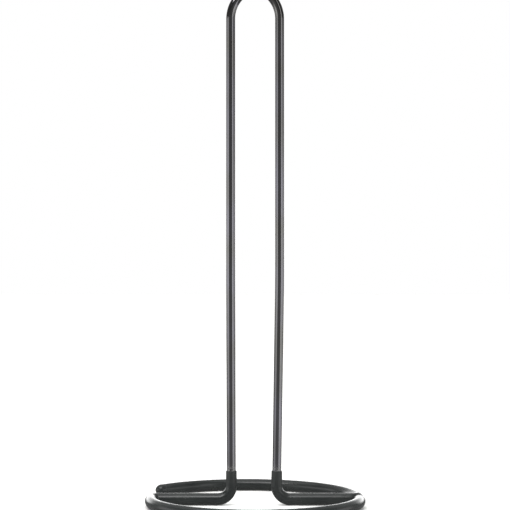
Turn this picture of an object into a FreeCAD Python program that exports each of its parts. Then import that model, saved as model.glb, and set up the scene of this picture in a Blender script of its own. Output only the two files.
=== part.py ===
"""Free-standing paper towel holder bent from one length of round steel wire.

The middle of the wire is a tall hairpin that the roll drops over. Each leg of the hairpin turns
outwards at its foot into a level spoke, and each spoke turns into half of the ring that the
holder stands on: the left one into the front half, the right one into the back half. A vinyl
covering runs from just above each foot bend to the free end of its half ring, where a domed cap
closes it.

Frame: +Z up, +X to the right, +Y to the back, origin under the middle of the ring on the surface
that the holder rests on. Millimetres and degrees.
"""
import FreeCAD, Part
import Sketcher
import os
from math import atan2, cos, pi, radians, sin, sqrt, tan

SIZES = {
    "wire_diameter": 6.0,
    "holder_height": 348.5,
    # hairpin: a loop of three arcs on two legs, which lean towards each other below a slight set
    "leg_spacing": 32.8,
    "loop_rise": 19.7,
    "crown_relief": 2.4,
    "set_height": 150.0,
    "set_radius": 1500.0,
    "left_lean": 0.2,
    "right_lean": 0.85,
    "foot_radius": 9.0,
    # half rings: the back one is sprung wider than the front one and ends short of it
    "corner_radius": 5.0,
    "front_radius": 69.5,
    "front_centre_x": 0.0,
    "front_centre_y": -4.0,
    "front_end_angle": 356.0,
    "back_radius": 75.8,
    "back_centre_x": -6.2,
    "back_centre_y": -4.7,
    "back_end_angle": 141.2,
    # vinyl coverings, thinner on the legs than in the ring, and their end caps
    "stub_top": 23.0,
    "stub_wall": 0.6,
    "ring_wall": 1.05,
    "cap_skirt": 2.0,
    "cap_clearance": 0.1,
}
LEFT, RIGHT = -1, 1
RING = {LEFT: "front", RIGHT: "back"}
LEAN = {LEFT: "left_lean", RIGHT: "right_lean"}
WIRE = "Sizes.wire_diameter"
STUB = "(Sizes.wire_diameter + 2 * Sizes.stub_wall)"
COVERING = "(Sizes.wire_diameter + 2 * Sizes.ring_wall)"
LEVEL = f"{COVERING} / 2"

# Sketcher's own numbers for the sketch axes and for the points of a line or an arc
ROOT, HORIZONTAL_AXIS, VERTICAL_AXIS = -1, -1, -2
START, END, CENTRE = 1, 2, 3


def make_sheet(doc):
    """Put every driving size in one spreadsheet, each under its own alias."""
    sheet = doc.addObject("Spreadsheet::Sheet", "Sizes")
    for row, (name, value) in enumerate(SIZES.items(), start=1):
        sheet.set(f"A{row}", name)
        sheet.set(f"B{row}", str(value))
        sheet.setAlias(f"B{row}", name)
    doc.recompute()


# ------------------------------------------------------------------ bodies and sketches


def make_body(doc, name):
    body = doc.addObject("PartDesign::Body", name)
    body.Label = name
    return body


def add_sketch(body, role, name, offset=None):
    """A sketch on one of the body's origin planes, moved off it by an expression."""
    sketch = body.newObject("Sketcher::SketchObject", name)
    plane = next(item for item in body.Origin.OriginFeatures if item.Role == role)
    sketch.AttachmentSupport = (plane, [""])
    sketch.MapMode = "FlatFace"
    if offset:
        sketch.setExpression("AttachmentOffset.Base.z", offset)
    return sketch


def hold(sketch, kind, *references, to):
    """A dimension that takes its value from the sheet."""
    value = sketch.evalExpression(to)
    value = radians(value.Value) if kind == "Angle" else float(value)
    index = sketch.addConstraint(Sketcher.Constraint(kind, *references, value))
    sketch.setExpression(f"Constraints[{index}]", to)


def hold_point(sketch, geometry, point, x, y):
    hold(sketch, "DistanceX", ROOT, START, geometry, point, to=x)
    hold(sketch, "DistanceY", ROOT, START, geometry, point, to=y)


def draw_chain(sketch, side, pieces):
    """Lines and arcs end to end, each tangent to the next, mirrored for the left-hand side.

    A piece is ("line", start, end) or ("arc", centre, radius, first_angle, last_angle). An arc
    that runs clockwise is entered at its own end. Returns a (number, entry, exit) for each.
    """
    drawn = []
    for kind, *shape in pieces:
        clockwise = False
        if kind == "line":
            first, last = (FreeCAD.Vector(side * x, y, 0) for x, y in shape)
            geometry = Part.LineSegment(first, last)
        else:
            (x, y), radius, first, last = shape
            if side == LEFT:
                first, last = pi - first, pi - last
            clockwise = last < first
            circle = Part.Circle(FreeCAD.Vector(side * x, y, 0), FreeCAD.Vector(0, 0, 1), radius)
            geometry = Part.ArcOfCircle(circle, min(first, last), max(first, last))
        number = sketch.addGeometry(geometry, False)
        entry, leave = (END, START) if clockwise else (START, END)
        if drawn:
            before, _, before_leave = drawn[-1]
            joint = Sketcher.Constraint("Tangent", before, before_leave, number, entry)
            sketch.addConstraint(joint)
        drawn.append((number, entry, leave))
    return drawn


def draw_section(body, role, name, offset, centre, diameter):
    """A round section on a plane that the path crosses squarely."""
    sketch = add_sketch(body, role, name, offset)
    sketch.addGeometry(Part.Circle(FreeCAD.Vector(), FreeCAD.Vector(0, 0, 1), 1), False)
    hold(sketch, "Diameter", 0, to=diameter)
    hold_point(sketch, 0, CENTRE, *centre)
    return sketch


def add_pipe(body, kind, name, section, path, edges=(), last_section=None):
    """Sweep a section along a path, growing into a last section where one is given."""
    pipe = body.newObject(f"PartDesign::{kind}Pipe", name)
    pipe.Profile = section
    pipe.Spine = (path, list(edges))
    if last_section:
        pipe.Sections = [(last_section, [""])]
        pipe.Transformation = "Multisection"
    return pipe


# ------------------------------------------------------------------ the wire's path


def covering_radius():
    """Also the height of the wire's centre in the ring, which lies on its covering."""
    return SIZES["wire_diameter"] / 2 + SIZES["ring_wall"]


def lean_angle(side):
    return radians(SIZES[LEAN[side]])


def leg_reach(side, height):
    """How far the leaning lower leg stands from the middle plane at a height."""
    return SIZES["leg_spacing"] / 2 - (SIZES["set_height"] - height) * tan(lean_angle(side))


def leg_x(side, height):
    """The same as an expression for the sheet, with the side's sign."""
    drop = f"(Sizes.set_height - {height}) * tan(Sizes.{LEAN[side]} * 1deg)"
    return f"{side} * (Sizes.leg_spacing / 2 - {drop})"


def spoke_reach(side):
    """Where the spoke meets its corner bend, which touches the spoke and the half ring."""
    ring, corner = RING[side], SIZES["corner_radius"]
    across = SIZES[f"{ring}_radius"] - corner
    along = side * corner - SIZES[f"{ring}_centre_y"]
    return side * SIZES[f"{ring}_centre_x"] + sqrt(across**2 - along**2)


def spoke_x(side):
    ring = RING[side]
    across = f"(Sizes.{ring}_radius - Sizes.corner_radius)^2"
    along = f"({side} * Sizes.corner_radius - Sizes.{ring}_centre_y)^2"
    return f"Sizes.{ring}_centre_x + {side} * sqrt({across} - {along})"


def foot_pieces(side, top):
    """Lower leg from a height down, foot bend and spoke, drawn for the right-hand side."""
    lean, bend, level = lean_angle(side), SIZES["foot_radius"], covering_radius()
    knee = level + bend * (1 + sin(lean))
    centre_x = leg_reach(side, knee) + bend * cos(lean)
    return [
        ("line", (leg_reach(side, top), top), (leg_reach(side, knee), knee)),
        ("arc", (centre_x, level + bend), bend, pi + lean, 3 * pi / 2),
        ("line", (centre_x, level), (spoke_reach(side), level)),
    ]


def hold_foot(sketch, side, lower, foot, spoke):
    hold(sketch, "Angle", lower[0], to=f"-(90 + {side} * Sizes.{LEAN[side]}) * 1deg")
    hold(sketch, "Radius", foot[0], to="Sizes.foot_radius")
    sketch.addConstraint(Sketcher.Constraint("Horizontal", spoke[0]))
    hold_point(sketch, spoke[0], spoke[2], spoke_x(side), LEVEL)


def draw_foot(body, side):
    """The stretch of leg, foot bend and spoke that a covering hides."""
    sketch = add_sketch(body, "XZ_Plane", "foot_path")
    lower, foot, spoke = draw_chain(sketch, side, foot_pieces(side, SIZES["stub_top"]))
    hold_point(sketch, lower[0], lower[1], leg_x(side, "Sizes.stub_top"), "Sizes.stub_top")
    hold_foot(sketch, side, lower, foot, spoke)
    return sketch


def draw_half_hairpin(body, side):
    """From the middle of the crown over the shoulder, down the leg and out along the spoke."""
    half, lean, bend = SIZES["leg_spacing"] / 2, lean_angle(side), SIZES["set_radius"]
    crown = half - SIZES["crown_relief"]
    crown_centre = SIZES["holder_height"] - SIZES["wire_diameter"] / 2 - crown
    spring = crown_centre + crown - SIZES["loop_rise"]
    climb = crown_centre - spring
    shoulder = (half**2 + climb**2 - crown**2) / (2 * SIZES["crown_relief"])
    turn = atan2(climb, shoulder - half)
    set_top = SIZES["set_height"] + bend * tan(lean / 2)

    sketch = add_sketch(body, "XZ_Plane", f"{RING[side]}_hairpin_path")
    pieces = [
        ("arc", (0, crown_centre), crown, pi / 2, turn),
        ("arc", (half - shoulder, spring), shoulder, turn, 0),
        ("line", (half, spring), (half, set_top)),
        ("arc", (half - bend, set_top), bend, 0, -lean),
    ]
    pieces += foot_pieces(side, set_top - bend * sin(lean))
    crown_arc, _, upper, set_arc, lower, foot, spoke = draw_chain(sketch, side, pieces)

    loop_top = "Sizes.holder_height - Sizes.wire_diameter / 2"
    crown_radius = "Sizes.leg_spacing / 2 - Sizes.crown_relief"
    set_start = f"Sizes.set_height + Sizes.set_radius * tan(Sizes.{LEAN[side]} / 2 * 1deg)"
    on_axis = Sketcher.Constraint("PointOnObject", crown_arc[0], CENTRE, VERTICAL_AXIS)
    sketch.addConstraint(on_axis)
    hold(sketch, "Radius", crown_arc[0], to=crown_radius)
    hold_point(sketch, crown_arc[0], crown_arc[1], "0", loop_top)
    sketch.addConstraint(Sketcher.Constraint("Vertical", upper[0]))
    leg = f"{side} * Sizes.leg_spacing / 2"
    hold_point(sketch, upper[0], START, leg, f"{loop_top} - Sizes.loop_rise")
    hold(sketch, "DistanceY", ROOT, START, upper[0], END, to=set_start)
    hold(sketch, "Radius", set_arc[0], to="Sizes.set_radius")
    hold_foot(sketch, side, lower, foot, spoke)
    return sketch


def draw_half_ring(body, side, end_angle):
    """Corner bend and half ring, counter-clockwise seen from above, to an angle."""
    ring, corner = RING[side], SIZES["corner_radius"]
    centre = FreeCAD.Vector(SIZES[f"{ring}_centre_x"], SIZES[f"{ring}_centre_y"], 0)
    corner_centre = FreeCAD.Vector(side * spoke_reach(side), side * corner, 0)
    touch = atan2(corner_centre.y - centre.y, corner_centre.x - centre.x) % (2 * pi)
    start = -side * pi / 2
    up = FreeCAD.Vector(0, 0, 1)

    sketch = add_sketch(body, "XY_Plane", f"{ring}_ring_path", LEVEL)
    bend = sketch.addGeometry(Part.ArcOfCircle(Part.Circle(corner_centre, up, corner), start, touch))
    main_circle = Part.Circle(centre, up, SIZES[f"{ring}_radius"])
    main = sketch.addGeometry(Part.ArcOfCircle(main_circle, touch, radians(end_angle[0])))
    finish = sketch.getPoint(main, END)
    spoke = sketch.addGeometry(Part.LineSegment(centre, finish), True)
    sketch.addConstraint(Sketcher.Constraint("Tangent", bend, END, main, START))
    sketch.addConstraint(Sketcher.Constraint("Coincident", spoke, START, main, CENTRE))
    sketch.addConstraint(Sketcher.Constraint("Coincident", spoke, END, main, END))
    sketch.addConstraint(Sketcher.Constraint("Vertical", bend, START, bend, CENTRE))
    hold(sketch, "Radius", bend, to="Sizes.corner_radius")
    sketch.addConstraint(Sketcher.Constraint("PointOnObject", bend, START, HORIZONTAL_AXIS))
    hold(sketch, "Radius", main, to=f"Sizes.{ring}_radius")
    hold_point(sketch, main, CENTRE, f"Sizes.{ring}_centre_x", f"Sizes.{ring}_centre_y")
    hold(sketch, "Angle", spoke, to=end_angle[1])
    return sketch


def wire_end(side):
    """The angle at which the wire's free end lies, as a value and as an expression."""
    ring = RING[side]
    return SIZES[f"{ring}_end_angle"], f"Sizes.{ring}_end_angle * 1deg"


def covering_end(side):
    """The covering stops a cap's skirt short of the wire's end."""
    ring = RING[side]
    skirt = SIZES["cap_skirt"] / SIZES[f"{ring}_radius"] * 180 / pi
    short = f"Sizes.cap_skirt / Sizes.{ring}_radius * 180 / pi"
    return SIZES[f"{ring}_end_angle"] - skirt, f"(Sizes.{ring}_end_angle - {short}) * 1deg"


# ------------------------------------------------------------------ the pieces


def make_wire_frame(doc):
    """One bent steel wire: hairpin, spokes and both half rings."""
    body = make_body(doc, "wire_frame")
    loop_top = ("0", "Sizes.holder_height - Sizes.wire_diameter / 2")
    crown = draw_section(body, "YZ_Plane", "crown_section", None, loop_top, WIRE)
    for side in (LEFT, RIGHT):
        ring = RING[side]
        add_pipe(body, "Additive", f"{ring}_leg", crown, draw_half_hairpin(body, side))
        spoke_name = f"{ring}_spoke_section"
        spoke = draw_section(body, "YZ_Plane", spoke_name, spoke_x(side), ("0", LEVEL), WIRE)
        path = draw_half_ring(body, side, wire_end(side))
        add_pipe(body, "Additive", f"{ring}_ring", spoke, path)


def make_sleeve(doc, side):
    """Vinyl covering of one foot bend, spoke and half ring, with the wire's own bore."""
    body = make_body(doc, f"{RING[side]}_sleeve")
    foot_path = draw_foot(body, side)
    ring_path = draw_half_ring(body, side, covering_end(side))
    knee = f"{LEVEL} + Sizes.foot_radius * (1 + sin(Sizes.{LEAN[side]} * 1deg))"
    turn = f"{side} * Sizes.foot_radius * cos(Sizes.{LEAN[side]} * 1deg)"
    bend_x = f"{leg_x(side, f'({knee})')} + {turn}"
    stub_centre = (leg_x(side, "Sizes.stub_top"), "0")

    def on_leg(name, diameter):
        return draw_section(body, "XY_Plane", name, "Sizes.stub_top", stub_centre, diameter)

    def on_spoke(name, offset, diameter):
        return draw_section(body, "YZ_Plane", name, offset, ("0", LEVEL), diameter)

    stub = on_leg("stub_section", STUB)
    stub_bore = on_leg("stub_bore", WIRE)
    bend = on_spoke("bend_section", bend_x, COVERING)
    spoke = on_spoke("spoke_section", spoke_x(side), COVERING)
    ring_bore = on_spoke("ring_bore", spoke_x(side), WIRE)
    add_pipe(body, "Additive", "stub_and_foot", stub, foot_path, ("Edge1", "Edge2"), bend)
    add_pipe(body, "Additive", "spoke", bend, foot_path, ("Edge3",))
    add_pipe(body, "Additive", "half_ring", spoke, ring_path)
    add_pipe(body, "Subtractive", "foot_bore", stub_bore, foot_path)
    add_pipe(body, "Subtractive", "half_ring_bore", ring_bore, ring_path)


def make_end_cap(doc, side):
    """Domed vinyl cap that meets the covering's end face and closes over the wire's end."""
    ring = RING[side]
    body = make_body(doc, f"{ring}_end_cap")
    sketch = add_sketch(body, "XZ_Plane", "cap_profile")
    skirt, outer = SIZES["cap_skirt"], covering_radius()
    bore = SIZES["wire_diameter"] / 2 + SIZES["cap_clearance"]
    floor = skirt + SIZES["cap_clearance"]
    corners = [(skirt + outer, 0), (floor, 0), (floor, bore), (0, bore), (0, outer), (skirt, outer)]
    points = [FreeCAD.Vector(x, y, 0) for x, y in corners]
    for first, last in zip(points, points[1:]):
        sketch.addGeometry(Part.LineSegment(first, last), False)
    sphere = Part.Circle(FreeCAD.Vector(skirt, 0, 0), FreeCAD.Vector(0, 0, 1), outer)
    dome = sketch.addGeometry(Part.ArcOfCircle(sphere, 0, pi / 2), False)
    for line in range(4):
        sketch.addConstraint(Sketcher.Constraint("Coincident", line, END, line + 1, START))
    sketch.addConstraint(Sketcher.Constraint("Tangent", 4, END, dome, END))
    sketch.addConstraint(Sketcher.Constraint("Coincident", dome, START, 0, START))
    for line, direction in enumerate(("Horizontal", "Vertical", "Horizontal", "Vertical", "Horizontal")):
        sketch.addConstraint(Sketcher.Constraint(direction, line))
    hold_point(sketch, dome, CENTRE, "Sizes.cap_skirt", "0")
    hold(sketch, "Radius", dome, to=LEVEL)
    hold(sketch, "DistanceY", ROOT, START, 0, START, to="0")
    bore_radius = "Sizes.wire_diameter / 2 + Sizes.cap_clearance"
    hold_point(sketch, 1, END, "Sizes.cap_skirt + Sizes.cap_clearance", bore_radius)
    hold(sketch, "DistanceX", ROOT, START, 3, START, to="0")

    turned = body.newObject("PartDesign::Revolution", "cap_revolution")
    turned.Profile = sketch
    turned.ReferenceAxis = (sketch, ["H_Axis"])
    turned.Angle = 360

    angle = covering_end(side)[1]
    up = FreeCAD.Vector(0, 0, 1)
    body.Placement = FreeCAD.Placement(FreeCAD.Vector(), FreeCAD.Rotation(up, 90))
    for axis, function in (("x", "cos"), ("y", "sin")):
        place = f"Sizes.{ring}_centre_{axis} + Sizes.{ring}_radius * {function}({angle})"
        body.setExpression(f"Placement.Base.{axis}", place)
    body.setExpression("Placement.Base.z", LEVEL)
    body.setExpression("Placement.Rotation.Angle", f"{angle} + 90deg")


def main():
    doc = FreeCAD.newDocument("paper_towel_holder")
    make_sheet(doc)
    make_wire_frame(doc)
    for side in (LEFT, RIGHT):
        make_sleeve(doc, side)
        make_end_cap(doc, side)
    doc.recompute()

    failed = [item.Label for item in doc.Objects if {"Invalid", "Error"} & set(item.State)]
    if failed:
        raise RuntimeError(f"these did not recompute: {failed}")
    os.makedirs("parts", exist_ok=True)
    for body in doc.findObjects("PartDesign::Body"):
        shape = body.Shape
        if shape.isNull() or not shape.isValid() or len(shape.Solids) != 1:
            raise RuntimeError(f"{body.Label} is not one valid solid")
        print(f"{body.Label}: {shape.Volume:.1f} mm3, {shape.BoundBox}")
        shape.exportStep(f"parts/{body.Label}.step")


main()
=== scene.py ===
from math import atan2, ceil, cos, pi, radians, sin, sqrt, tan

import bmesh
import bpy
from mathutils import Matrix, Vector


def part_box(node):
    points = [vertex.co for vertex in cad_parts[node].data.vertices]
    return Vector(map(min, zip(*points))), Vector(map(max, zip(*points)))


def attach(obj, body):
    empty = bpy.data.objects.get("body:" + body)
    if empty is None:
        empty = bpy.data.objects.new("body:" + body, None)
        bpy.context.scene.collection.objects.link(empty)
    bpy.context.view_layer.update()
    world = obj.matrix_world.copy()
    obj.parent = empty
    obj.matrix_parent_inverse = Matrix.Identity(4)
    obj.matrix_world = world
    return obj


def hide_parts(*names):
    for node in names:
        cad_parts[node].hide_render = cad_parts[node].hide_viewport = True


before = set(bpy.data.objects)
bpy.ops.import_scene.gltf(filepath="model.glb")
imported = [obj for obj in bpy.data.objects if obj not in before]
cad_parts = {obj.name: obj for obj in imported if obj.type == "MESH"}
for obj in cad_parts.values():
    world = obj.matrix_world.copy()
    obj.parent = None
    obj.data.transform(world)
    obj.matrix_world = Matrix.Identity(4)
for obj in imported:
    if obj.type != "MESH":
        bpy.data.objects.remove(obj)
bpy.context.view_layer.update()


# ---- The wire ----------------------------------------------------------------------------
# One length of drawn mild-steel wire, bent cold into a hairpin with a spoke and half a ring at
# each foot, then polished and plated with black nickel. Both of its ends are sheared flat. It
# is the whole frame: everything else is pushed onto it.

MM = 0.001
LEFT, RIGHT = -1, 1
RING = {LEFT: "front", RIGHT: "back"}
X, Y, Z = Vector((1, 0, 0)), Vector((0, 1, 0)), Vector((0, 0, 1))

wire_low, wire_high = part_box("wire_frame")
covering_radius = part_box("front_end_cap")[1].z / 2      # the ring lies on its covering
wire_radius = covering_radius - wire_low.z
stub_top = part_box("front_sleeve")[1].z

# hairpin: its crown is tighter than half the leg spacing, and above a slight set the legs lean inwards
half_spacing = 16.4 * MM
loop_rise = 19.7 * MM
crown_relief = 2.4 * MM
set_height, set_radius = 150.0 * MM, 1500.0 * MM
lean = {LEFT: radians(0.2), RIGHT: radians(0.85)}
foot_radius = 9.0 * MM

# half rings: the back one is sprung wider than the front one and ends short of it
corner_radius = 5.0 * MM
ring_centre = {LEFT: Vector((0.0, -4.0 * MM)), RIGHT: Vector((-6.2 * MM, -4.7 * MM))}
ring_radius = {
    LEFT: ring_centre[LEFT].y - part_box("front_sleeve")[0].y - covering_radius,
    RIGHT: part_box("back_sleeve")[1].y - covering_radius - ring_centre[RIGHT].y,
}
ring_end = {LEFT: radians(356.0), RIGHT: radians(141.2)}
shear_burr = 0.25 * MM


class Walk:
    """A centreline laid down by walking it: straight runs and bends, each tangent to the last."""

    def __init__(self, place, heading):
        self.places, self.headings, self.travelled = [place], [heading], [0.0]

    def add(self, place, heading):
        self.travelled.append(self.travelled[-1] + (place - self.places[-1]).length)
        self.places.append(place)
        self.headings.append(heading)

    def straight(self, length, step=6 * MM):
        start, heading = self.places[-1], self.headings[-1]
        count = max(1, ceil(length / step))
        for i in range(1, count + 1):
            self.add(start + heading * (length * i / count), heading)

    def bend(self, radius, angle, axis, step=0.8 * MM):
        start, heading = self.places[-1], self.headings[-1]
        centre = start + axis.cross(heading) * radius
        count = max(2, ceil(radius * angle / step))
        for i in range(1, count + 1):
            turn = Matrix.Rotation(angle * i / count, 3, axis)
            self.add(centre + turn @ (start - centre), turn @ heading)


def half_wire(side):
    """From the middle of the crown over the shoulder, down the leg and round the half ring."""
    level = covering_radius
    crown_radius = half_spacing - crown_relief
    crown_centre = wire_high.z - wire_radius - crown_radius
    spring = crown_centre + crown_radius - loop_rise
    climb = crown_centre - spring
    relief = half_spacing - crown_radius
    shoulder = (half_spacing**2 + climb**2 - crown_radius**2) / (2 * relief)
    turn = atan2(climb, shoulder - half_spacing)
    set_top = set_height + set_radius * tan(lean[side] / 2)
    knee = level + foot_radius * (1 + sin(lean[side]))

    walk = Walk(Vector((0, 0, crown_centre + crown_radius)), side * X)
    walk.bend(crown_radius, pi / 2 - turn, side * Y)
    walk.bend(shoulder, turn, side * Y)
    walk.straight(spring - set_top)
    walk.bend(set_radius, lean[side], side * Y, step=5 * MM)
    walk.straight((walk.places[-1].z - knee) / cos(lean[side]))
    walk.bend(foot_radius, pi / 2 + lean[side], -side * Y, step=0.5 * MM)

    # the corner bend touches the spoke on one side and the half ring on the other
    centre, radius = ring_centre[side], ring_radius[side]
    along = side * corner_radius - centre.y
    reach = side * centre.x + sqrt((radius - corner_radius) ** 2 - along**2)
    touch = atan2(along, side * reach - centre.x) % (2 * pi)
    walk.straight(reach - abs(walk.places[-1].x))
    walk.bend(corner_radius, touch + side * pi / 2, Z, step=0.5 * MM)
    walk.bend(radius, ring_end[side] - touch, Z, step=1.5 * MM)
    return walk


def sweep(name, stations, around=48):
    """A closed skin round a centreline. A station is (place, heading, radius, travelled).

    The sections turn as little as they can from one to the next, so that nothing twists. Both
    ends are left open, and the UV map is in metres: along the wire, then round it.
    """
    mesh = bpy.data.meshes.new(name)
    grid = bmesh.new()
    unwrapped = grid.loops.layers.uv.new("along_and_round")
    spoke = stations[0][1].orthogonal().normalized()
    rings, along = [], []
    for place, heading, radius, travelled in stations:
        spoke = (spoke - heading * spoke.dot(heading)).normalized()
        across = heading.cross(spoke)
        ring = []
        for i in range(around):
            a = 2 * pi * i / around
            ring.append(grid.verts.new(place + (spoke * cos(a) + across * sin(a)) * radius))
        rings.append(ring)
        along.append(travelled)
    girth = 2 * pi * max(station[2] for station in stations)
    for r in range(len(rings) - 1):
        for i in range(around):
            j = (i + 1) % around
            face = grid.faces.new((rings[r][i], rings[r][j], rings[r + 1][j], rings[r + 1][i]))
            face.smooth = True
            corners = ((along[r], i), (along[r], i + 1), (along[r + 1], i + 1), (along[r + 1], i))
            for loop, (u, v) in zip(face.loops, corners):
                loop[unwrapped].uv = (u, v / around * girth)
    return mesh, grid, rings


def close_end(grid, ring, place):
    tip = grid.verts.new(place)
    for i, vertex in enumerate(ring):
        face = grid.faces.new((vertex, ring[(i + 1) % len(ring)], tip))
        face.smooth = False


def finish_mesh(name, mesh, grid, sharp=radians(35)):
    bmesh.ops.recalc_face_normals(grid, faces=grid.faces)
    for edge in grid.edges:
        edge.smooth = edge.calc_face_angle(0.0) < sharp
    grid.to_mesh(mesh)
    grid.free()
    piece = bpy.data.objects.new(name, mesh)
    bpy.context.collection.objects.link(piece)
    return piece


def linear(hexadecimal):
    """An sRGB hex colour as the linear colour that a shader takes."""
    parts = [int(hexadecimal[i : i + 2], 16) / 255 for i in (1, 3, 5)]
    return [c / 12.92 if c <= 0.04045 else ((c + 0.055) / 1.055) ** 2.4 for c in parts] + [1.0]


def node(tree, kind, settings=None, stops=(), **inputs):
    """Add a node, with its properties, its ramp stops, and a value or a link for each input.

    An input goes by its name, or by i and its number where two inputs share a name. A stop is a
    (position, colour) pair.
    """
    made = tree.nodes.new(f"ShaderNode{kind}")
    for key, value in (settings or {}).items():
        setattr(made, key, value)
    for i, (position, colour) in enumerate(stops):
        elements = made.color_ramp.elements
        element = elements[i] if i < 2 else elements.new(position)
        element.position, element.color = position, colour
    for key, value in inputs.items():
        socket = made.inputs[int(key[1:])] if key[1:].isdigit() else made.inputs[key.replace("_", " ")]
        if isinstance(value, bpy.types.NodeSocket):
            tree.links.new(value, socket)
        else:
            socket.default_value = value
    return made


none, full = (0, 0, 0, 1), (1, 1, 1, 1)


def black_nickel_on_drawn_wire():
    """Bright black nickel: a grey-brown mirror that keeps faint lines from the drawing die.

    Roll cores rub the legs, which leaves hair scratches and a slightly softer mirror.
    """
    material = bpy.data.materials.new("black_nickel_on_drawn_wire")
    material.use_nodes = True
    tree = material.node_tree
    shader = tree.nodes["Principled BSDF"]
    shader.inputs["Metallic"].default_value = 1.0
    shader.inputs["Specular Tint"].default_value = linear("#747270")

    uv = node(tree, "UVMap", {"uv_map": "along_and_round"}).outputs["UV"]
    solid = node(tree, "TexCoord").outputs["Object"]

    # die lines: 60 mm long and 0.35 mm apart round the wire, coarser than real ones so that they show
    lines_at = node(tree, "Mapping", Vector=uv, Scale=(1 / 0.060, 1 / 0.00035, 1)).outputs["Vector"]
    lines = node(tree, "TexNoise", Vector=lines_at, Scale=1.0, Detail=3.0).outputs["Fac"]
    # plating cloud: patches some 25 mm across where the nickel is a shade browner
    cloud = node(tree, "TexNoise", Vector=solid, Scale=1 / 0.025, Detail=2.0).outputs["Fac"]
    # hair scratches: 8 mm long, nearly in line with the wire, and drawn 0.12 mm wide so that they show
    hair_at = node(
        tree, "Mapping", Vector=uv, Rotation=(0, 0, radians(4)), Scale=(1 / 0.008, 1 / 0.00012, 1)
    ).outputs["Vector"]
    hair = node(tree, "TexNoise", Vector=hair_at, Scale=1.0, Detail=1.0).outputs["Fac"]
    scratch = node(tree, "ValToRGB", stops=[(0.66, none), (0.72, full)], Fac=hair).outputs["Color"]

    tints = [(0.35, linear("#8b8a88")), (0.65, linear("#94939a"))]
    tint = node(tree, "ValToRGB", stops=tints, Fac=cloud).outputs["Color"]
    streaked = node(
        tree, "Mix", {"data_type": "RGBA", "blend_type": "MULTIPLY"}, i0=0.22, i6=tint, i7=lines
    ).outputs[2]

    rough = node(tree, "MapRange", Value=lines, i1=0.3, i2=0.7, i3=0.07, i4=0.12).outputs["Result"]
    rubbed = node(tree, "Math", {"operation": "MULTIPLY_ADD"}, i0=scratch, i1=0.10, i2=rough).outputs[0]
    # a broken haze of vinyl, wiped up the wire for 5 mm when the covering was pushed on
    height = node(tree, "SeparateXYZ", Vector=solid).outputs["Z"]
    smear = node(
        tree, "MapRange", Value=height, i1=stub_top, i2=stub_top + 5.0 * MM, i3=1.0, i4=0.0
    ).outputs["Result"]
    specks = node(tree, "TexNoise", Vector=solid, Scale=1 / 0.0012, Detail=2.0).outputs["Fac"]
    broken = node(tree, "ValToRGB", stops=[(0.38, none), (0.58, full)], Fac=specks).outputs["Color"]
    haze = node(tree, "Math", {"operation": "MULTIPLY"}, i0=smear, i1=broken).outputs[0]
    hazed = node(tree, "Math", {"operation": "MULTIPLY_ADD"}, i0=haze, i1=0.5, i2=rubbed)
    tree.links.new(hazed.outputs[0], shader.inputs["Roughness"])
    milky = node(
        tree, "Mix", {"data_type": "RGBA"}, i0=haze, i6=streaked, i7=linear("#c4c4c2")
    ).outputs[2]
    tree.links.new(milky, shader.inputs["Base Color"])

    relief = node(tree, "Math", {"operation": "MULTIPLY_ADD"}, i0=scratch, i1=-0.6, i2=lines)
    bump = node(tree, "Bump", Height=relief.outputs[0], Strength=0.10, Distance=0.01 * MM)
    tree.links.new(bump.outputs["Normal"], shader.inputs["Normal"])
    return material


halves = {side: half_wire(side) for side in (LEFT, RIGHT)}


def wire_stations():
    """Both halves as one wire, from the end of the front half ring to the end of the back one."""
    left, right = halves[LEFT], halves[RIGHT]
    stations = []
    for i in range(len(left.places) - 1, 0, -1):
        stations.append((left.places[i], -left.headings[i], wire_radius, -left.travelled[i]))
    for i in range(len(right.places)):
        stations.append((right.places[i], right.headings[i], wire_radius, right.travelled[i]))
    return stations


# each sheared end has a small chamfer in place of its burr
stations = wire_stations()
first, last = stations[0], stations[-1]
stations[0] = (first[0], first[1], wire_radius - shear_burr, first[3])
stations.insert(1, (first[0] + first[1] * shear_burr, first[1], wire_radius, first[3] + shear_burr))
stations[-1] = (last[0] - last[1] * shear_burr, last[1], wire_radius, last[3] - shear_burr)
stations.append((last[0], last[1], wire_radius - shear_burr, last[3]))
mesh, grid, rings = sweep("bent_wire", stations, around=40)
close_end(grid, rings[0], first[0])
close_end(grid, rings[-1], last[0])
bent_wire = finish_mesh("bent_wire", mesh, grid)
bent_wire.data.materials.append(black_nickel_on_drawn_wire())
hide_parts("wire_frame")
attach(bent_wire, "root")


# ---- The coverings -----------------------------------------------------------------------
# Grey-black vinyl tube over each foot, spoke and half ring, so that the ring neither slides nor
# marks a worktop. It is pushed on from the free end and cut square at the top, and it is
# stretched thin where it grips the leg.

stub_radius = wire_radius + 0.6 * MM
lip_flare, flare_length = 0.12 * MM, 9.0 * MM
swell_start, swell_length = 7.0 * MM, 19.0 * MM
lip_round = 0.22 * MM
seam_round = 0.18 * MM
mark_gap = 0.25 * MM
bore_play = 0.02 * MM
# a cap reaches this far back over the wire, and the covering stops there
cap_skirt = 2.0 * MM


def smooth_step(value):
    value = min(1.0, max(0.0, value))
    return value * value * (3 - 2 * value)


def skin_radius(past_lip):
    """Outer radius of a covering, by the distance from its cut lip."""
    flare = lip_flare * smooth_step(past_lip / flare_length)
    left_over = covering_radius - stub_radius - lip_flare
    swell = left_over * smooth_step((past_lip - swell_start) / swell_length)
    return stub_radius + flare + swell


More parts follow.
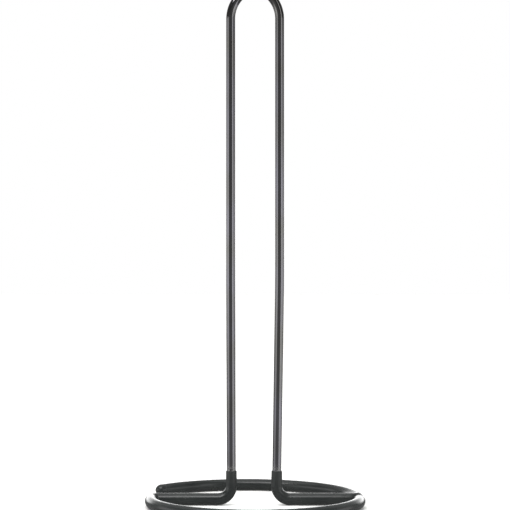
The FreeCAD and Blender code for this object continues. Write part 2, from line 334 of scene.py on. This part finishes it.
def extruded_soft_vinyl():
    """Extruded plasticised PVC: a satin, nearly black skin with a slow grey bloom and orange peel.

    It catches dust, and its underside is scuffed pale where the ring is dragged on a worktop.
    """
    material = bpy.data.materials.new("extruded_soft_vinyl")
    material.use_nodes = True
    tree = material.node_tree
    shader = tree.nodes["Principled BSDF"]
    shader.inputs["IOR"].default_value = 1.53

    # grey bloom in patches of 18 mm, orange peel of 0.9 mm, and slow waves of 7 mm from the die
    solid = node(tree, "TexCoord").outputs["Object"]
    bloom = node(tree, "TexNoise", Vector=solid, Scale=1 / 0.018, Detail=3.0).outputs["Fac"]
    peel = node(tree, "TexNoise", Vector=solid, Scale=1 / 0.0009, Detail=2.0).outputs["Fac"]
    flow = node(tree, "TexNoise", Vector=solid, Scale=1 / 0.007, Detail=1.0).outputs["Fac"]
    # a speck of dust about every 2 mm
    specks = node(tree, "TexVoronoi", Vector=solid, Scale=1 / 0.0022).outputs["Distance"]
    dust = node(tree, "ValToRGB", stops=[(0.05, full), (0.12, none)], Fac=specks).outputs["Color"]

    tints = [(0.32, linear("#212424")), (0.68, linear("#292c2b"))]
    tint = node(tree, "ValToRGB", stops=tints, Fac=bloom).outputs["Color"]
    dusty = node(
        tree, "Mix", {"data_type": "RGBA"}, i0=dust, i6=tint, i7=linear("#343534")
    ).outputs[2]

    # scuffs: the lowest millimetre, broken up at 1.5 mm
    height = node(tree, "SeparateXYZ", Vector=solid).outputs["Z"]
    low = node(tree, "MapRange", Value=height, i1=0.0, i2=0.9 * MM, i3=1.0, i4=0.0).outputs["Result"]
    rub = node(tree, "TexNoise", Vector=solid, Scale=1 / 0.0015, Detail=3.0).outputs["Fac"]
    worn = node(tree, "Math", {"operation": "MULTIPLY"}, i0=low, i1=rub).outputs[0]
    scuffed = node(
        tree, "Mix", {"data_type": "RGBA"}, i0=worn, i6=dusty, i7=linear("#585957")
    ).outputs[2]
    tree.links.new(scuffed, shader.inputs["Base Color"])

    satin = node(tree, "MapRange", Value=bloom, i1=0.3, i2=0.7, i3=0.21, i4=0.28).outputs["Result"]
    # stretched over the leg, the skin is duller than on the spokes and the ring
    dull = node(
        tree, "MapRange", Value=height, i1=covering_radius * 2, i2=stub_top, i3=0.0, i4=0.22
    ).outputs["Result"]
    duller = node(tree, "Math", {"operation": "ADD"}, i0=satin, i1=dull).outputs[0]
    rough = node(tree, "Math", {"operation": "MULTIPLY_ADD"}, i0=worn, i1=0.35, i2=duller)
    tree.links.new(rough.outputs[0], shader.inputs["Roughness"])

    fine = node(tree, "Bump", Height=peel, Strength=0.25, Distance=0.03 * MM).outputs["Normal"]
    slow = node(tree, "Bump", Height=flow, Strength=0.35, Distance=0.12 * MM, Normal=fine)
    tree.links.new(slow.outputs["Normal"], shader.inputs["Normal"])
    return material


def between(walk, start, stop):
    """The stations of a walk from one distance to another, with exact ends."""
    chosen = []
    for i in range(1, len(walk.places)):
        before, after = walk.travelled[i - 1], walk.travelled[i]
        for mark in (start, stop):
            if before < mark <= after:
                share = (mark - before) / (after - before)
                place = walk.places[i - 1].lerp(walk.places[i], share)
                heading = walk.headings[i - 1].slerp(walk.headings[i], share)
                chosen.append((place, heading, mark))
        if start < after < stop:
            chosen.append((walk.places[i], walk.headings[i], after))
    return sorted(chosen, key=lambda station: station[2])


def lip_start(side):
    """How far along the half wire the covering is cut, at the height of its top."""
    walk = halves[side]
    for i in range(1, len(walk.places)):
        if walk.places[i].z < stub_top:
            above, below = walk.places[i - 1].z, walk.places[i].z
            share = (above - stub_top) / (above - below)
            return walk.travelled[i - 1] + share * (walk.travelled[i] - walk.travelled[i - 1])


def tube_with_bore(name, centre, outline, bore, around=56):
    """A closed tube: outline is (distance along, radius) outside, and the bore runs back inside."""
    start, stop = outline[0][0], outline[-1][0]
    marks = {station[2]: station for station in centre}
    skin = [(*marks[along][:2], radius, along) for along, radius in outline]
    inside = [(*marks[along][:2], bore, along) for along, _ in reversed(outline)]
    mesh, grid, rings = sweep(name, skin + inside, around)
    for i in range(around):
        j = (i + 1) % around
        grid.faces.new((rings[-1][i], rings[-1][j], rings[0][j], rings[0][i]))
    return finish_mesh(name, mesh, grid)


def edge_marks(rounding):
    """Distances from a rounded edge at which its quarter circle is sampled."""
    return [rounding * (1 - cos(i * pi / 8)) for i in range(5)]


def edge_drop(rounding, distance):
    """How far a rounded edge falls below the skin, at a distance from the edge."""
    inside = max(0.0, rounding - distance)
    return rounding - sqrt(max(0.0, rounding**2 - inside**2))


vinyl = extruded_soft_vinyl()
covering_end = {}
for side in (LEFT, RIGHT):
    walk = halves[side]
    start = lip_start(side)
    stop = walk.travelled[-1] - cap_skirt
    covering_end[side] = stop
    # the rounded edges get stations of their own, and the walk's stations keep clear of them
    marks = [start + mark for mark in edge_marks(lip_round)]
    marks += [stop - mark for mark in edge_marks(seam_round)]
    centre = between(walk, start, stop)
    clear = [station for station in centre if all(abs(station[2] - mark) > mark_gap for mark in marks)]
    exact = [between(walk, start, mark)[-1] if mark > start else centre[0] for mark in marks]
    centre = sorted(clear + exact, key=lambda station: station[2])
    outline = []
    for _, _, along in centre:
        drop = edge_drop(lip_round, along - start) + edge_drop(seam_round, stop - along)
        outline.append((along, skin_radius(along - start) - drop))
    name = f"{RING[side]}_covering"
    covering = tube_with_bore(name, centre, outline, wire_radius + bore_play)
    covering.data.materials.append(vinyl)
    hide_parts(f"{RING[side]}_sleeve")
    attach(covering, "root")


# ---- The end caps ------------------------------------------------------------------------
# A short domed cap, moulded from the same vinyl, pushed over each free end of the wire until
# its skirt meets the covering. The joint shows as a fine groove round the ring.

dome_rings = 14
skirt_play = 0.1 * MM
for side in (LEFT, RIGHT):
    walk = halves[side]
    place, heading, _ = between(walk, 0.0, covering_end[side])[-1]
    stations = []
    for back in edge_marks(seam_round):
        radius = covering_radius - edge_drop(seam_round, back)
        stations.append((place + heading * back, heading, radius, back))
    for i in range(dome_rings):
        a = pi / 2 * i / dome_rings
        ahead = cap_skirt + covering_radius * sin(a)
        stations.append((place + heading * ahead, heading, covering_radius * cos(a), ahead))
    floor = cap_skirt + skirt_play
    bore = wire_radius + skirt_play
    inside = [(place, heading, bore, 0.0), (place + heading * floor, heading, bore, floor)]
    mesh, grid, rings = sweep(f"{RING[side]}_cap", list(reversed(stations)) + inside, around=56)
    close_end(grid, rings[0], place + heading * (cap_skirt + covering_radius))
    close_end(grid, rings[-1], place + heading * floor)
    for face in grid.faces:
        face.smooth = True
    cap = finish_mesh(f"{RING[side]}_cap", mesh, grid)
    cap.data.materials.append(vinyl)
    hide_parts(f"{RING[side]}_end_cap")
    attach(cap, "root")


# ---- The studio --------------------------------------------------------------------------
# A matt white floor under an even white sky, two soft lights straight above, one in front and
# one behind, and white walls round the holder that only its polished surfaces see.


def painted_floor():
    material = bpy.data.materials.new("matt_white_floor_paint")
    material.use_nodes = True
    shader = material.node_tree.nodes["Principled BSDF"]
    shader.inputs["Base Color"].default_value = linear("#f4f4f2")
    shader.inputs["Roughness"].default_value = 0.9
    shader.inputs["Specular IOR Level"].default_value = 0.1
    return material


def staged(name, corners, faces, material):
    """A surface of the studio, which isn't part of the holder."""
    mesh = bpy.data.meshes.new(name)
    mesh.from_pydata(corners, [], faces)
    mesh.materials.append(material)
    made = bpy.data.objects.new(name, mesh)
    bpy.context.collection.objects.link(made)
    return made


floor_half = 6.0
floor_corners = [(x * floor_half, y * floor_half, 0) for x, y in ((-1, -1), (1, -1), (1, 1), (-1, 1))]
floor = staged("floor", floor_corners, [(0, 1, 2, 3)], painted_floor())
floor.visible_glossy = False

wall_distance = 1.6
holder_middle = 0.17


def glowing_wall_paint(name, low, high, strengths):
    """White light in three strengths: at the wall's foot, at the holder's middle and at its top."""
    material = bpy.data.materials.new(name)
    material.use_nodes = True
    tree = material.node_tree
    tree.nodes.remove(tree.nodes["Principled BSDF"])
    solid = node(tree, "TexCoord").outputs["Object"]
    height = node(tree, "SeparateXYZ", Vector=solid).outputs["Z"]
    share = node(tree, "MapRange", Value=height, i1=low, i2=high, i3=0.0, i4=1.0).outputs["Result"]
    middle = (holder_middle - low) / (high - low)
    stops = [(at, (glow, glow, glow, 1)) for at, glow in zip((0.0, middle, 1.0), strengths)]
    painted = node(tree, "ValToRGB", stops=stops, Fac=share).outputs["Color"]
    lamp = node(tree, "Emission", Color=painted, Strength=1.0)
    tree.links.new(lamp.outputs["Emission"], tree.nodes["Material Output"].inputs["Surface"])
    return material


def reflecting_wall(name, first, last, low, high, strengths):
    """Part of a round wall between two bearings in degrees from the front, seen only in gloss."""
    steps = max(2, ceil((last - first) / 6))
    corners, faces = [], []
    for i in range(steps + 1):
        bearing = radians(first + (last - first) * i / steps)
        x, y = wall_distance * sin(bearing), -wall_distance * cos(bearing)
        corners += [(x, y, low), (x, y, high)]
    for i in range(steps):
        faces.append((2 * i, 2 * i + 2, 2 * i + 3, 2 * i + 1))
    made = staged(name, corners, faces, glowing_wall_paint(name, low, high, strengths))
    made.visible_camera = made.visible_diffuse = made.visible_shadow = False


reflecting_wall("left_wall", -116, -47, -0.25, 0.6, (0.45, 1.25, 0.75))
reflecting_wall("right_wall", 57, 116, -0.25, 0.6, (0.95, 1.0, 0.3))
reflecting_wall("strip", 40, 55, -0.25, 1.6, (1.2, 1.5, 0.8))
reflecting_wall("rear_wall", 142, 218, 0.03, 0.6, (0.6, 4.6, 0.8))


def softbox(name, place, width, depth, radiance):
    """An even rectangular light that faces straight down."""
    light = bpy.data.lights.new(name, "AREA")
    light.shape = "RECTANGLE"
    light.size, light.size_y = width, depth
    light.energy = radiance * pi * width * depth
    made = bpy.data.objects.new(name, light)
    made.location = place
    made.visible_camera = False
    bpy.context.collection.objects.link(made)


softbox("front_softbox", (-0.42, -0.78, 1.10), 1.1, 0.75, 4.4)
softbox("rear_softbox", (-0.30, 0.10, 1.20), 1.2, 0.8, 0.8)

# the sky is pure white behind the holder and a little brighter as fill. In gloss it is dusky, so
# that metal and vinyl stay dark between the walls, and it lightens only above and behind
fill = (1.19, 1.19, 1.19, 1)
world = bpy.data.worlds.new("white_sky")
world.use_nodes = True
sky = world.node_tree
path = node(sky, "LightPath")
in_gloss, in_view = path.outputs["Is Glossy Ray"], path.outputs["Is Camera Ray"]
direction = node(sky, "SeparateXYZ", Vector=node(sky, "TexCoord").outputs["Generated"])
upward, rearward = direction.outputs["Z"], direction.outputs["Y"]
dusk = node(sky, "MapRange", Value=upward, i1=-0.2, i2=0.4, i3=0.24, i4=0.05).outputs["Result"]
above = node(sky, "MapRange", Value=upward, i1=0.15, i2=0.5, i3=0.0, i4=1.0).outputs["Result"]
behind = node(sky, "MapRange", Value=rearward, i1=-0.1, i2=0.5, i3=0.0, i4=0.3).outputs["Result"]
dim = node(sky, "Math", {"operation": "MULTIPLY_ADD"}, i0=above, i1=behind, i2=dusk).outputs[0]
bright = node(sky, "Mix", {"data_type": "RGBA"}, i0=in_view, i6=fill, i7=full).outputs[2]
shade = node(sky, "Mix", {"data_type": "RGBA"}, i0=in_gloss, i6=bright, i7=dim).outputs[2]
sky.links.new(shade, sky.nodes["Background"].inputs["Color"])
bpy.context.scene.world = world


# ---- The camera --------------------------------------------------------------------------
# Level with the middle of the legs and square to them, far enough off to look at the ring from
# just above. The holder's loop and the front of its ring run out of the view.

camera_distance = 1125 * MM
camera_rise = 163.55 * MM       # above the wire's level stretch
camera_aside = -0.1 * MM

camera = bpy.data.cameras.new("camera")
camera.sensor_width = 36.0
camera.lens = 118.5
viewer = bpy.data.objects.new("camera", camera)
viewer.location = (camera_aside, -camera_distance, covering_radius + camera_rise)
viewer.rotation_euler = (pi / 2, 0, 0)
bpy.context.collection.objects.link(viewer)
bpy.context.scene.camera = viewer
bpy.context.scene.view_settings.view_transform = "Standard"
